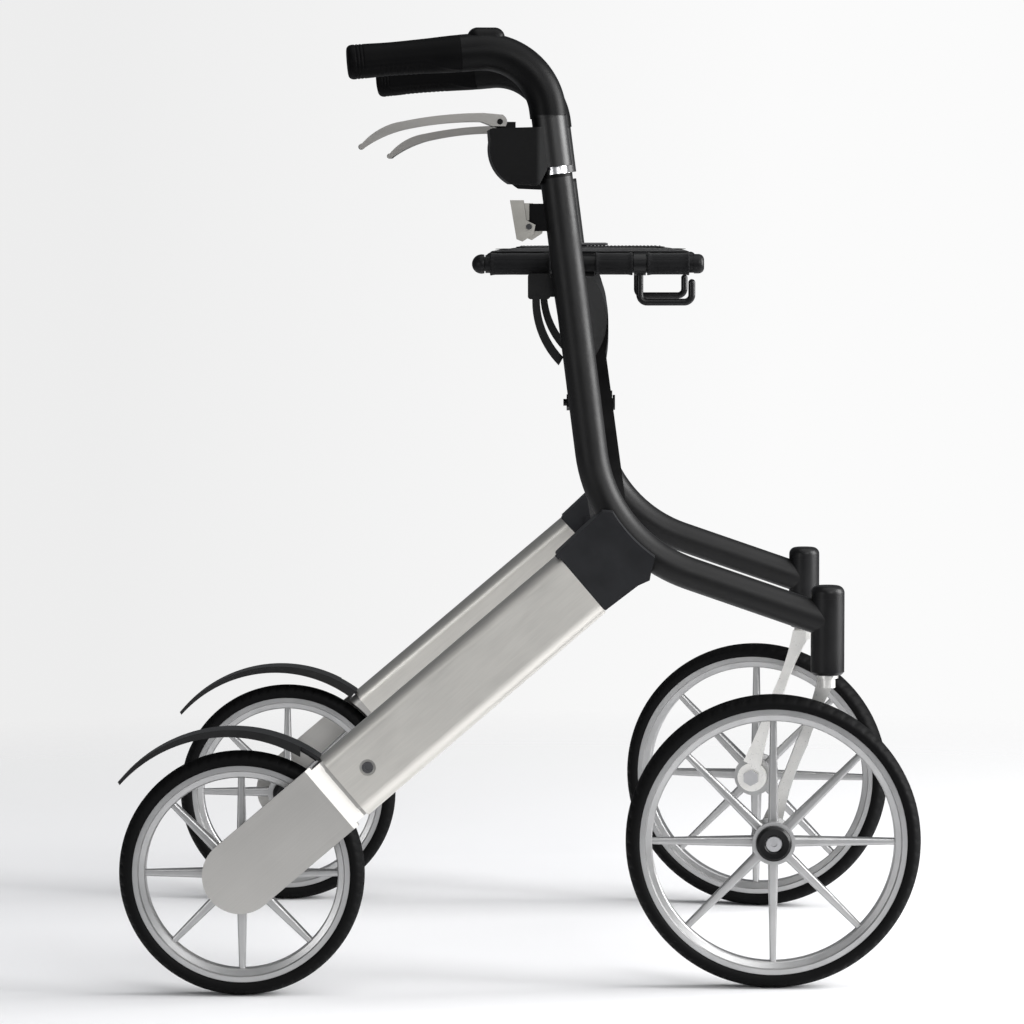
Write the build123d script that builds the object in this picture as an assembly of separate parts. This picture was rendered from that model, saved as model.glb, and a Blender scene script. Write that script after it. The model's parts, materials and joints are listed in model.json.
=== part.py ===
from build123d import *
import os
from math import atan2, cos, hypot, pi, radians, sin, tan

# A cross-folding outdoor rollator: two side frames joined by an X brace, a
# two-part fabric seat on rails, swivelling front wheels and fixed rear wheels.
# +X points forward, +Y to the user's left, +Z up, millimetres, floor at Z 0.
# Side parts are modelled on the left (+Y) and mirrored for the right side.

# ---- wheels ----
FRONT_R = 130.0
REAR_R = 107.5
WHEELBASE = 465.4
FRONT_X = WHEELBASE / 2
REAR_X = -WHEELBASE / 2
FRONT_Y = 219.7
REAR_Y = 262.0
TYRE_WIDTH = 27.0
TYRE_DEPTH = 12.3
RIM_DEPTH = 11.0
RIM_WIDTH = 21.0
SPOKES = 8
AXLE_R = 5.0
BEARING_R = 11.0
BEARING_WIDTH = 7.0
FRONT_HUB_HALF = 17.0
REAR_HUB_HALF = 15.0
FIT = 0.02          # gap between parts that are pressed or bonded together
RUN = 0.05          # radial running clearance of pins and axles
GAP = 0.3           # gap between neighbours on different bodies

# ---- steering ----
STEER_X = 280.0
LEFT_SWIVEL = -12.3  # the left wheel stands turned a little at rest
HEAD_R = 14.8
HEAD_Z = (277.4, 345.0)
STEM_R = 7.0
CROWN_HALF = 6.5
ARM_INNER = 26.5     # the fork arm's faces, inward from the wheel's middle
ARM_OUTER = 18.8

# ---- main tubes ----
POST_Y = 220.0
TUBE_R = 14.3
TUBE_WALL = 2.0
POST_TOP = (42.2, 713.0)
BEND_CORNER = (82.8, 392.7)
LEG_SLOPE = 19.1
BEND_R = 130.0
HEIGHT_TUBE_R = 11.1
HEIGHT_TUBE_WALL = 1.6
HEIGHT_TUBE_FOOT_Z = 495.0   # at the lowest handle setting
CLAMP_X = 18.5
CLAMP_Z = 670.5
CLAMP_PIN_R = 2.5

# ---- rear beam, measured along its axis u from the rear wheel's centre ----
BEAM_ANGLE = 40.4
BEAM_WIDTH = 65.5
BEAM_THICK = 36.0
BEAM_WALL = 2.2
BEAM_CORNER = 12.0
BEAM_U = (118.3, 389.5)
BEAM_FRONT_Y = 246.0
BLOCK_EDGE_R = BEND_R - 1.5   # the block covers the inner half of the bent tube
BLOCK_CORNERS = ((113.5, 359.5), (85.1, 337.8), (41.1, 385.3))
FORK_HALF = 33.0     # half width of the plate beside the rear wheel
SCREW_U = 146.0
SCREW_R = 2.8
SCREW_HEAD_R = 5.0
SCREW_WINDOW_R = 7.2
MUDGUARD_HALF = 16.5
MUDGUARD_WALL = 2.4

# ---- cross brace and seat ----
BRACE_X = 72.5      # between the two arms, at the height where they cross
BRACE_RAKE = 0.14   # the arms stand further back as they rise, like the posts
ARM_WIDTH = 16.0
ARM_HEIGHT = 22.0
ARM_PITCH = 19.2
ARM_BOSS = 1.0
FAN_HALF = 6.5
SADDLE_WALL = 3.6
EAR_SPARE = 1.25    # room for the leaning arm between the ears of its clevis
EAR_THICK = 5.0
PIVOT_R = 4.0
LOWER_PIVOT = (190.0, 372.0)
RAIL = (182.0, 637.6)
RAIL_R = 8.0
RAIL_WALL = 1.6
RAIL_X = (-21.0, 163.0)
RAIL_ENDS_X = (-33.0, 172.0)
SADDLE_X = (39.5, 75.0)
CRADLE_X = (17.0, 36.5)
FAN_Z = (545.0, 588.0, 629.0, 634.1)   # heights of the fan's neck, nape, shoulders and top
FAN_BULGE = (86.2, 592.0)
SEAT_X = (-17.0, 159.0)
SEAT_THICK = 4.0
SEAT_HALF_WIDTH = 158.0
HOOK_X = (115.3, 161.2)
HOOK_Z = (603.8, 621.0)
HOOK_R = 3.1

# ---- handle ----
GRIP_REAR = (-140.0, 812.6)
GRIP_SLOPE = 4.8
ELBOW_R = 57.0
TOE_OUT = 6.7
LEVER_PIVOT = (-7.7, 761.5)
LEVER_PIN_R = 2.5
LEVER_HALF = 7.0
GRIP_WALL = 5.0     # thickness of the grip's closed rear end
ELBOW_BEND_R = 16.3
ELBOW_SLEEVE_R = 15.2
ELBOW_STRAIGHT = 15.0    # straight run of the elbow before its arc starts
GRIP_GAP = 0.2
THUMB_REST_AT = 15.0     # from the elbow's edge at the grip
THUMB_REST_LENGTH = 15.0
THUMB_REST_RISE = 5.0    # above the elbow's straight start
THUMB_REST_R = 9.0

# the middle of the overall length, from the middle of the wheelbase
LENGTH_CENTRE = 11.8

post_dir = Vector(POST_TOP[0] - BEND_CORNER[0], 0, POST_TOP[1] - BEND_CORNER[1]).normalized()
post_top = Vector(POST_TOP[0], POST_Y, POST_TOP[1])
post_axis = Axis(post_top, post_dir)
beam_cos = cos(radians(BEAM_ANGLE))
beam_sin = sin(radians(BEAM_ANGLE))
rear_hub = Vector(REAR_X, REAR_Y, REAR_R)
front_hub = Vector(FRONT_X, FRONT_Y, FRONT_R)


def on_post(z, y=POST_Y):
    """The point of the post's centre line at height z."""
    return Vector(post_top.X + post_dir.X / post_dir.Z * (z - post_top.Z), y, z)


def tube(start, end, radius, bore=0.0):
    """A straight round bar or tube from start to end."""
    plane = Plane(origin=start, z_dir=end - start)
    length = (end - start).length
    body = plane * Cylinder(radius, length, align=(Align.CENTER, Align.CENTER, Align.MIN))
    if bore:
        body -= plane * Cylinder(bore, length, align=(Align.CENTER, Align.CENTER, Align.MIN))
    return body


def along_y(x, z, y0, y1, radius, bore=0.0):
    return tube(Vector(x, y0, z), Vector(x, y1, z), radius, bore)


def along_x(y, z, x0, x1, radius, bore=0.0):
    return tube(Vector(x0, y, z), Vector(x1, y, z), radius, bore)


def block(x, y, z):
    """A box given by its low and high limits along each axis."""
    size = (x[1] - x[0], y[1] - y[0], z[1] - z[0])
    return Pos((x[0] + x[1]) / 2, (y[0] + y[1]) / 2, (z[0] + z[1]) / 2) * Box(*size)


def side_plate(outline, y0, y1):
    """A plate with an outline drawn in the XZ plane, from y0 to y1."""
    face = Plane(origin=(0, y0, 0), x_dir=(1, 0, 0), z_dir=(0, -1, 0)) * make_face(outline)
    return extrude(face, amount=-(y1 - y0))


def swept(points, radii, section_radius, bore=0.0):
    """A round tube along a polyline with rounded corners."""
    path = FilletPolyline(*points, radius=radii)
    plane = Plane(origin=points[0], z_dir=points[1] - points[0])
    body = sweep(plane * Circle(section_radius), path=path)
    if bore:
        body -= sweep(plane * Circle(bore), path=path)
    return body


# ---------------------------------------------------------------- wheels

def turned(profile, hub):
    """A ring turned about the wheel's axis from a half profile of (width, radius)."""
    face = Plane(origin=hub, x_dir=(0, 1, 0), z_dir=(-1, 0, 0)) * make_face(profile)
    return revolve(face, axis=Axis(hub, (0, 1, 0)))


def tyre(hub, radius):
    bead = radius - TYRE_DEPTH
    half = TYRE_WIDTH / 2
    shoulder = radius - 5.5
    crown = radius - 1.2
    lines = [
        Line((-half + 2, bead), (half - 2, bead)),
        Line((half - 2, bead), (half, bead + 3)),
        Line((half, bead + 3), (half, shoulder)),
        ThreePointArc((half, shoulder), (half - 2.2, crown - 1.0), (half - 6, crown + 0.4)),
        ThreePointArc((half - 6, crown + 0.4), (0, radius), (-half + 6, crown + 0.4)),
        ThreePointArc((-half + 6, crown + 0.4), (-half + 2.2, crown - 1.0), (-half, shoulder)),
        Line((-half, shoulder), (-half, bead + 3)),
        Line((-half, bead + 3), (-half + 2, bead)),
    ]
    return turned(Curve() + lines, hub)


def spoke(hub, angle, inner, outer):
    """One tapered spoke with a rounded section, from the hub shell to the rim."""
    plane = Plane(origin=hub, x_dir=(0, 1, 0), z_dir=(cos(angle), 0, sin(angle)))
    root = plane.offset(inner) * RectangleRounded(15, 9, 2.5)
    end = plane.offset(outer) * RectangleRounded(9, 5.5, 2.0)
    return loft([root.face(), end.face()])


def rim(hub, radius, hub_half):
    """Rim band, spokes and hub shell as one casting."""
    bead = radius - TYRE_DEPTH - FIT
    inner = bead - RIM_DEPTH
    half = RIM_WIDTH / 2
    band = Polyline(
        (-half, bead), (half, bead), (half, bead - 4.5), (half - 2.5, bead - 5.5),
        (half - 4.0, inner + 1.0), (half - 5.0, inner), (-half + 5.0, inner),
        (-half + 4.0, inner + 1.0), (-half + 2.5, bead - 5.5), (-half, bead - 4.5), (-half, bead),
    )
    shell = Polyline(
        (-hub_half, BEARING_R), (hub_half, BEARING_R), (hub_half, 19.0), (hub_half - 3, 19.0),
        (hub_half - 6, 15.0), (-hub_half + 6, 15.0), (-hub_half + 3, 19.0), (-hub_half, 19.0),
        (-hub_half, BEARING_R),
    )
    body = turned(band, hub) + turned(shell, hub)
    for n in range(SPOKES):
        body += spoke(hub, n * 2 * pi / SPOKES, 13.0, inner + 1.0)
    inside = hub_half - BEARING_WIDTH
    body += along_y(hub.X, hub.Z, hub.Y - inside, hub.Y + inside, BEARING_R + 0.5, AXLE_R + 1.0)
    return body


def bearings(hub, hub_half):
    """The two ball races pressed into the hub's ends."""
    outer = BEARING_R - FIT
    inside = hub_half - BEARING_WIDTH + 0.05
    pair = along_y(hub.X, hub.Z, hub.Y - hub_half, hub.Y - inside, outer, AXLE_R + RUN)
    pair += along_y(hub.X, hub.Z, hub.Y + inside, hub.Y + hub_half, outer, AXLE_R + RUN)
    return pair


def front_hub_cap():
    """Dished trim ring on the outer end of the front hub, open around the bolt head."""
    y0 = FRONT_HUB_HALF + FIT
    profile = Polyline(
        (y0, 15.8), (y0 + 3.0, 15.4), (y0 + 5.0, 13.2), (y0 + 4.6, 8.4),
        (y0 + 3.4, 7.2), (y0, 7.2), (y0, 15.8),
    )
    return turned(profile, front_hub)


def rear_hub_cap():
    """Closed dome on the inner end of the rear hub, over the axle nut."""
    y0 = -REAR_HUB_HALF - FIT
    profile = Polyline(
        (y0, 14.2), (y0 - 5.0, 13.6), (y0 - 8.5, 10.0), (y0 - 9.5, 0.0),
        (y0 - 7.5, 0.0), (y0 - 6.5, 9.6), (y0, 9.8), (y0, 14.2),
    )
    return turned(profile, rear_hub)


# ---------------------------------------------------------------- caster

def caster_fork():
    """Single arm on the inner side of the wheel, with its crown and steering stem."""
    arm_y = (front_hub.Y - ARM_INNER, front_hub.Y - ARM_OUTER)
    arm = Curve() + [
        Line((STEER_X + CROWN_HALF, 276.0), (STEER_X - CROWN_HALF, 276.0)),
        ThreePointArc((STEER_X - CROWN_HALF, 276.0), (266.5, 248.0), (254.0, 216.0)),
        ThreePointArc((254.0, 216.0), (240.0, 180.0), (FRONT_X - 8.0, 146.0)),
        Line((FRONT_X - 8.0, 146.0), (FRONT_X + 8.0, 138.0)),
        ThreePointArc((FRONT_X + 8.0, 138.0), (250.0, 178.0), (263.5, 212.0)),
        ThreePointArc((263.5, 212.0), (274.0, 241.0), (STEER_X + CROWN_HALF, 266.0)),
        Line((STEER_X + CROWN_HALF, 266.0), (STEER_X + CROWN_HALF, 276.0)),
    ]
    body = side_plate(arm, arm_y[0], arm_y[1])
    body += along_y(FRONT_X, FRONT_R, arm_y[0], arm_y[1], 14.0)
    body += along_y(FRONT_X, FRONT_R, arm_y[1], front_hub.Y - FRONT_HUB_HALF - GAP, 9.0)
    body += block((STEER_X - CROWN_HALF, STEER_X + CROWN_HALF), (arm_y[0], FRONT_Y), (266.0, 276.0))
    steer_foot = Vector(STEER_X, FRONT_Y, 266.0)
    body += tube(steer_foot, Vector(STEER_X, FRONT_Y, HEAD_Z[1] - 8.0), STEM_R)
    race_foot = Vector(STEER_X, FRONT_Y, HEAD_Z[0] - 3.0)
    body += tube(race_foot, Vector(STEER_X, FRONT_Y, HEAD_Z[0] - GAP), STEM_R + 2.5)
    body -= along_y(FRONT_X, FRONT_R, arm_y[0] - 1, front_hub.Y, AXLE_R + FIT)
    return body


def front_axle():
    """Shoulder bolt through the hub: nut on the fork's boss, low head in the cap."""
    y_nut = front_hub.Y - ARM_INNER - FIT
    y_head = front_hub.Y + FRONT_HUB_HALF + GAP
    body = along_y(FRONT_X, FRONT_R, y_nut - 5.0, y_head, AXLE_R)
    nut = Plane(origin=(FRONT_X, y_nut, FRONT_R), z_dir=(0, -1, 0)) * RegularPolygon(8.0, 6)
    body += extrude(nut, amount=5.0)
    body += along_y(FRONT_X, FRONT_R, y_head, y_head + 3.6, 6.6)
    body -= along_y(FRONT_X, FRONT_R, y_head + 1.6, y_head + 3.6, 2.6)
    return body


def head_tube():
    """Steering head with its separate top cap."""
    foot = Vector(STEER_X, FRONT_Y, HEAD_Z[0])
    top = Vector(STEER_X, FRONT_Y, HEAD_Z[1])
    body = tube(foot, top, HEAD_R)
    body -= tube(foot, Vector(STEER_X, FRONT_Y, HEAD_Z[1] - 6.0), STEM_R + RUN)
    foot_edges = body.edges().filter_by(GeomType.CIRCLE).group_by(Axis.Z)[0]
    body = chamfer(foot_edges.sort_by(SortBy.RADIUS)[-1], 2.5)
    cap = tube(top + Vector(0, 0, FIT), top + Vector(0, 0, 11.0), HEAD_R)
    cap = fillet(cap.edges().group_by(Axis.Z)[-1], 6.5)
    return body, cap


# ---------------------------------------------------------------- side frame

def post_points():
    slope = tan(radians(LEG_SLOPE))
    leg_end_x = STEER_X - 2.0
    leg_end_z = BEND_CORNER[1] - (leg_end_x - BEND_CORNER[0]) * slope
    return [
        post_top,
        Vector(BEND_CORNER[0], POST_Y, BEND_CORNER[1]),
        Vector(leg_end_x, POST_Y, leg_end_z),
    ]


def main_tube():
    """Post and front leg bent from one tube, with the welded rail cradle."""
    body = swept(post_points(), BEND_R, TUBE_R, TUBE_R - TUBE_WALL)
    body -= tube(Vector(STEER_X, FRONT_Y, 250), Vector(STEER_X, FRONT_Y, 400), HEAD_R + FIT)
    cradle = block(CRADLE_X, (RAIL[0] - 9, POST_Y - 6), (607.0, RAIL[1] - RAIL_R - GAP))
    cradle = fillet(cradle.edges().filter_by(Axis.Y), 2.5)
    web = block((CRADLE_X[0] + 8, 52), (POST_Y - 12, POST_Y - 6), (609.0, 626.0))
    stay = side_plate(
        Curve() + [
            Line((21.0, 610.0), (27.5, 610.0)),
            ThreePointArc((27.5, 610.0), (31.5, 583.0), (48.0, 556.0)),
            Line((48.0, 556.0), (44.0, 549.0)),
            ThreePointArc((44.0, 549.0), (26.0, 577.0), (21.0, 610.0)),
        ],
        POST_Y - 13.0, POST_Y - 5.0,
    )
    bracket = cradle + web + stay - swept(post_points(), BEND_R, TUBE_R - 0.5)
    return body + bracket


def beam_plane(u):
    """The beam's cross-section plane at distance u: its x axis runs across the width."""
    share = (u - BEAM_U[0]) / (BEAM_U[1] - BEAM_U[0])
    y = REAR_Y + (BEAM_FRONT_Y - REAR_Y) * share
    lean = (BEAM_FRONT_Y - REAR_Y) / (BEAM_U[1] - BEAM_U[0])
    direction = Vector(beam_cos, lean, beam_sin)
    origin = Vector(REAR_X + u * beam_cos, y, REAR_R + u * beam_sin)
    return Plane(origin=origin, x_dir=(-beam_sin, 0, beam_cos), z_dir=direction)


def beam_bar(u0, u1, inset):
    """A solid bar with the beam's rounded section, inset from its outside."""
    section = RectangleRounded(BEAM_WIDTH - 2 * inset, BEAM_THICK - 2 * inset, BEAM_CORNER - inset)
    length = hypot(u1 - u0, (u1 - u0) * (BEAM_FRONT_Y - REAR_Y) / (BEAM_U[1] - BEAM_U[0]))
    return extrude(beam_plane(u0) * section, amount=length)


def rear_beam():
    body = beam_bar(BEAM_U[0], BEAM_U[1], 0) - beam_bar(BEAM_U[0] - 5, BEAM_U[1] + 5, BEAM_WALL)
    screw = beam_plane(SCREW_U).origin
    body -= tube(screw, screw + Vector(0, BEAM_THICK, 0), SCREW_WINDOW_R)
    return body


def joint_block():
    """Casting that joins beam and main tube, with a spigot in the beam and the brace lugs."""
    corner = Vector(BEND_CORNER[0], BEND_CORNER[1])
    leg = radians(LEG_SLOPE)
    turn = atan2(post_dir.Z, post_dir.X)
    half = (turn + leg) / 2
    reach = BEND_R / sin(half)
    centre = Vector(corner.X + reach * cos(turn - half), corner.Y + reach * sin(turn - half))

    def on_edge(x, z):
        """The point of the block's curved edge nearest to a point of the XZ plane."""
        angle = atan2(z - centre.Y, x - centre.X)
        return (centre.X + BLOCK_EDGE_R * cos(angle), centre.Y + BLOCK_EDGE_R * sin(angle))

    first, middle, last = on_edge(88.0, 421.0), on_edge(108.0, 404.0), on_edge(124.0, 378.0)
    outline = Curve() + [
        Polyline(last, (124.7, 371.0), (123.5, 364.0), *BLOCK_CORNERS, (82.0, 423.8), first),
        ThreePointArc(first, middle, last),
    ]
    outer_y = BEAM_FRONT_Y + BEAM_THICK / 2
    body = side_plate(outline, POST_Y - 13.0, outer_y)
    body -= swept(post_points(), BEND_R, TUBE_R + FIT)
    body -= beam_bar(BEAM_U[1] - 40.0, BEAM_U[1] + FIT, -3.0)
    spigot = beam_bar(BEAM_U[1] - 32.0, BEAM_U[1] + 6.0, BEAM_WALL + FIT)
    spigot -= beam_bar(BEAM_U[1] - 33.0, BEAM_U[1] - 2.0, BEAM_WALL + 4.0)
    return body + spigot


def brace_lug(arm_x):
    """Clevis on the block's inner face, two ears around the foot of a brace arm."""
    y, z = LOWER_PIVOT
    foot_x = arm_x_at(arm_x, z)
    body = block((foot_x - 17, foot_x + 17), (POST_Y - 14.0, POST_Y - 8.0), (z - 15, z + 15))
    body -= swept(post_points(), BEND_R, TUBE_R + FIT)
    for side in (-1, 1):
        inner = ARM_WIDTH / 2 + EAR_SPARE
        ear_x = sorted((foot_x + side * inner, foot_x + side * (inner + EAR_THICK)))
        ear = block(ear_x, (y, POST_Y - 13.0), (z - 11, z + 11))
        ear += along_x(y, z, ear_x[0], ear_x[1], 11.0)
        body += ear
    body -= along_x(y, z, foot_x - 30, foot_x + 30, PIVOT_R + FIT)
    return body


def rear_fork():
    """Plug in the beam's end with a stepped plate down the outer side of the wheel."""
    plug = beam_bar(BEAM_U[0] - 14, BEAM_U[0] + 52, BEAM_WALL + FIT)
    wheel_room = along_y(REAR_X, REAR_R, REAR_Y - 30, REAR_Y + 17.2, REAR_R + 4.5)
    plug -= wheel_room
    step = Polyline(
        (-40, 17.5), (101, 17.5), (114, 12.0), (150, 11.5), (150, 13.6), (116.5, 15.6),
        (103, 22.5), (-40, 22.5), (-40, 17.5),
    )
    along = Plane(origin=rear_hub, x_dir=(beam_cos, 0, beam_sin), z_dir=(-beam_sin, 0, beam_cos))
    plate = extrude(along * make_face(step), amount=FORK_HALF, both=True)
    trim = along_y(REAR_X, REAR_R, REAR_Y + 10, REAR_Y + 25, FORK_HALF)
    bar = Plane(origin=rear_hub, x_dir=(beam_cos, 0, beam_sin), z_dir=(0, 1, 0))
    trim += bar * Pos(54, 0, 17) * Box(108, 2 * FORK_HALF, 16)
    trim += bar * Pos(129, 0, 17) * Box(43, 2 * (FORK_HALF - 3.2), 16)
    plate = plate & trim
    body = plug + plate
    body += along_y(REAR_X, REAR_R, REAR_Y + REAR_HUB_HALF + GAP, REAR_Y + 18, 12.0)
    body -= along_y(REAR_X, REAR_R, REAR_Y, REAR_Y + 20.0, AXLE_R + FIT)
    body -= shoe_bar(BEAM_U[0] - 20, BEAM_U[0] + 53, 0.3)
    body -= beam_bar(BEAM_U[0], BEAM_U[1], -3.0) - beam_bar(BEAM_U[0] - 1, BEAM_U[1], BEAM_WALL + FIT)
    screw = beam_plane(SCREW_U).origin
    body -= tube(screw + Vector(0, 10.9, 0), screw + Vector(0, BEAM_THICK, 0), SCREW_R + FIT)
    return body


def shoe_bar(u0, u1, extra):
    """The brake shoe's rectangular bar along the beam, grown by extra."""
    plane = Plane(origin=rear_hub, x_dir=(-beam_sin, 0, beam_cos), z_dir=(beam_cos, 0, beam_sin))
    section = plane.offset(u0) * Rectangle(24 + 2 * extra, 17 + 2 * extra)
    return extrude(section, amount=u1 - u0)


def brake_shoe():
    """Plunger in the plug with a concave face that presses on the tyre's crown."""
    body = shoe_bar(REAR_R - 4, BEAM_U[0] + 30, 0)
    body -= along_y(REAR_X, REAR_R, REAR_Y - 30, REAR_Y + 30, REAR_R + 3.4)
    return body


def rear_axle():
    """Stub axle held in the fork plate, with its nut under the hub cap."""
    nut_y = REAR_Y - REAR_HUB_HALF - GAP
    body = along_y(REAR_X, REAR_R, nut_y - 4.5, REAR_Y + 20.0, AXLE_R)
    nut = Plane(origin=(REAR_X, nut_y, REAR_R), z_dir=(0, -1, 0)) * RegularPolygon(8.5, 6)
    body += extrude(nut, amount=4.0)
    return body


def mudguard():
    """Curved guard with turned-down sides, wider gap at its tail, and a root block."""
    tip, crest, root = (-339.1, 189.1), (-247.0, 234.6), (-163.5, 210.0)
    half = MUDGUARD_HALF
    top = ThreePointArc(tip, crest, root)
    skirt = ThreePointArc((-337.4, 186.3), (-245.5, 228.4), (-168.5, 203.5))
    outline = Curve() + [top, Line(root, skirt @ 1), skirt, Line(skirt @ 0, tip)]
    shell = side_plate(outline, REAR_Y - half, REAR_Y + half)
    under = ThreePointArc((-336.0, 187.9), (-247.0, 232.2), (-165.0, 207.6))
    low = ThreePointArc((-333.0, 170.0), (-243.0, 215.0), (-176.0, 190.0))
    room = side_plate(
        Curve() + [under, Line(under @ 1, low @ 1), low, Line(low @ 0, under @ 0)],
        REAR_Y - half + MUDGUARD_WALL, REAR_Y + half - MUDGUARD_WALL,
    )
    shell -= room
    seat = side_plate(
        Polyline((-166.0, 208.6), (-163.6, 210.0), (-149.5, 197.5), (-153.0, 187.5), (-166.0, 208.6)),
        REAR_Y - 12.0, REAR_Y + 12.0,
    )
    shell += seat
    shell -= beam_bar(BEAM_U[0] - 15, BEAM_U[1], -GAP / 3)
    shell -= along_y(REAR_X, REAR_R, REAR_Y - 40, REAR_Y + 40, REAR_R + 3.0)
    shell -= block((-180.0, -160.0), (REAR_Y + 12.7, REAR_Y + 20.0), (190.0, 220.0))
    return shell


def clamp_collar():
    """Plastic bush at the post's mouth, and the clamp's lug on the back of the post."""
    top = on_post(713.0)
    bush = tube(on_post(655.0), top, TUBE_R - TUBE_WALL - FIT, HEIGHT_TUBE_R + RUN)
    lip = tube(top + post_dir * FIT, top + post_dir * 3.0, TUBE_R, HEIGHT_TUBE_R + RUN)
    lug = block((18.5, on_post(678).X - 6), (POST_Y - 5.0, POST_Y + 5.0), (666.5, 690.5))
    lug += along_y(CLAMP_X, CLAMP_Z, POST_Y - 5.0, POST_Y + 5.0, 5.5)
    lug = lug - tube(on_post(600.0), on_post(710.0), TUBE_R + FIT)
    lug -= along_y(CLAMP_X, CLAMP_Z, POST_Y - 20, POST_Y + 20, CLAMP_PIN_R + FIT)
    return bush + lip, lug


def clamp_lever():
    """Forked paddle that lies behind the post when the clamp is closed."""
    outline = Polyline(
        (1.8, 693.5), (13.5, 693.5), (15.0, 684.0), (16.0, 676.0), (24.0, 672.0), (22.5, 664.0),
        (12.5, 657.5), (7.5, 659.5), (1.8, 693.5),
    )
    body = side_plate(outline, POST_Y - 10.5, POST_Y + 10.5)
    body -= block((13.0, 60.0), (POST_Y - 5.3, POST_Y + 5.3), (650.0, 700.0))
    body -= along_y(CLAMP_X, CLAMP_Z, POST_Y - 5.3, POST_Y + 5.3, 6.0)
    body -= along_y(CLAMP_X, CLAMP_Z, POST_Y - 20, POST_Y + 20, CLAMP_PIN_R + RUN)
    body = body & block((0, 30), (POST_Y - 11, POST_Y + 11), (650, 700))
    return body


def frame_pins(arm_x):
    """Clamp pin, lower brace pin and the beam's cross screw."""
    y, z = LOWER_PIVOT
    foot_x = arm_x_at(arm_x, z)
    pins = [along_y(CLAMP_X, CLAMP_Z, POST_Y - 12.0, POST_Y + 12.0, CLAMP_PIN_R)]
    reach = ARM_WIDTH / 2 + EAR_SPARE + EAR_THICK + 3.0
    pins.append(along_x(y, z, foot_x - reach, foot_x + reach, PIVOT_R))
    screw = beam_plane(SCREW_U).origin
    face = screw + Vector(0, BEAM_THICK / 2, 0)
    shank = tube(screw + Vector(0, 11.0, 0), face - Vector(0, 1.0, 0), SCREW_R)
    head = tube(face - Vector(0, BEAM_WALL - GAP, 0), face, SCREW_HEAD_R)
    socket = extrude(Plane(origin=face, z_dir=(0, -1, 0)) * RegularPolygon(SCREW_R, 6), amount=1.2)
    pins.append(shank + head - socket)
    return pins


# ---------------------------------------------------------------- brace and seat

def centre_pivot_z():
    share = LOWER_PIVOT[0] / (LOWER_PIVOT[0] + RAIL[0])
    return LOWER_PIVOT[1] + (RAIL[1] - LOWER_PIVOT[1]) * share


def arm_x_at(arm_x, z):
    """Where the axis of the arm that crosses at arm_x stands at height z."""
    return arm_x - BRACE_RAKE * (z - centre_pivot_z())


def brace_arm(arm_x):
    """Arm from a lower pivot on the right side up to the left rail's saddle."""
    foot = Vector(arm_x_at(arm_x, LOWER_PIVOT[1]), -LOWER_PIVOT[0], LOWER_PIVOT[1])
    head = Vector(arm_x_at(arm_x, RAIL[1]), RAIL[0], RAIL[1])
    along = (head - foot).normalized()
    length = (head - foot).length
    across = Vector(1, 0, 0).cross(along).normalized()
    half = ARM_WIDTH / 2
    leaning = Plane(origin=foot, x_dir=along.cross(across), z_dir=across)
    body = leaning * Pos(0, (length - 12) / 2, 0) * Box(ARM_WIDTH, length - 12, ARM_HEIGHT)
    body += along_x(foot.Y, foot.Z, foot.X - half, foot.X + half, ARM_HEIGHT / 2)
    pivot_z = centre_pivot_z()
    boss_x = sorted((arm_x, arm_x + (half + ARM_BOSS) * (1 if arm_x > BRACE_X else -1)))
    body += along_x(0, pivot_z, boss_x[0], boss_x[1], ARM_HEIGHT / 2)

    level = Plane(origin=foot, x_dir=(1, 0, 0), z_dir=across)
    reach = (head - foot).dot(level.y_dir)

    def spot(x, z):
        """A point of the arm's plane, given by its X and its height."""
        return (x - foot.X, (z - foot.Z) / level.y_dir.Z)

    front, back = SADDLE_X[1], SADDLE_X[0]
    neck = (arm_x_at(arm_x, FAN_Z[0]) + half - 0.5, FAN_Z[0])
    nape = (arm_x_at(arm_x, FAN_Z[1]) - half + 0.5, FAN_Z[1])
    fan = Curve() + [
        ThreePointArc(spot(*neck), spot(*FAN_BULGE), spot(front, FAN_Z[2])),
        Polyline(spot(front, FAN_Z[2]), spot(front, FAN_Z[3]), spot(back, FAN_Z[3]), spot(back, FAN_Z[2]),
                 spot(*nape), spot(*neck)),
    ]
    body += extrude(level * make_face(fan), amount=FAN_HALF, both=True)
    saddle = along_x(RAIL[0], RAIL[1], back, front, RAIL_R + SADDLE_WALL)
    keep = level * Pos(0, reach - 15.2, 0) * Box(200, 24, 60)
    body += saddle & keep
    body -= along_x(RAIL[0], RAIL[1], back - 5, front + 5, RAIL_R + FIT)
    body -= level * Pos(0, reach + 16.8, 0) * Box(200, 40, 60)
    body -= along_x(foot.Y, foot.Z, foot.X - 20, foot.X + 20, PIVOT_R + RUN)
    body -= along_x(0, pivot_z, arm_x - 20, arm_x + 20, PIVOT_R + RUN)
    return body


def centre_pivot():
    """Bolt, head, spacer, washer and nut through both arms where they cross."""
    z = centre_pivot_z()
    reach = ARM_PITCH / 2 + ARM_WIDTH / 2 + ARM_BOSS
    front = BRACE_X + reach + 0.4
    back = BRACE_X - reach - 0.4
    body = along_x(0, z, back - 4.8, front + 1.0, PIVOT_R)
    body += along_x(0, z, back - 7.8, back - 4.0, PIVOT_R - 0.8)
    body += along_x(0, z, front, front + 2.2, 7.0)
    body += along_x(0, z, BRACE_X - 0.8, BRACE_X + 0.8, 8.0)
    body += along_x(0, z, back - 0.8, back, 8.5)
    nut = Plane(origin=(back - 0.8, 0, z), z_dir=(-1, 0, 0)) * RegularPolygon(7.5, 6)
    return body + extrude(nut, amount=4.0)


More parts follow.
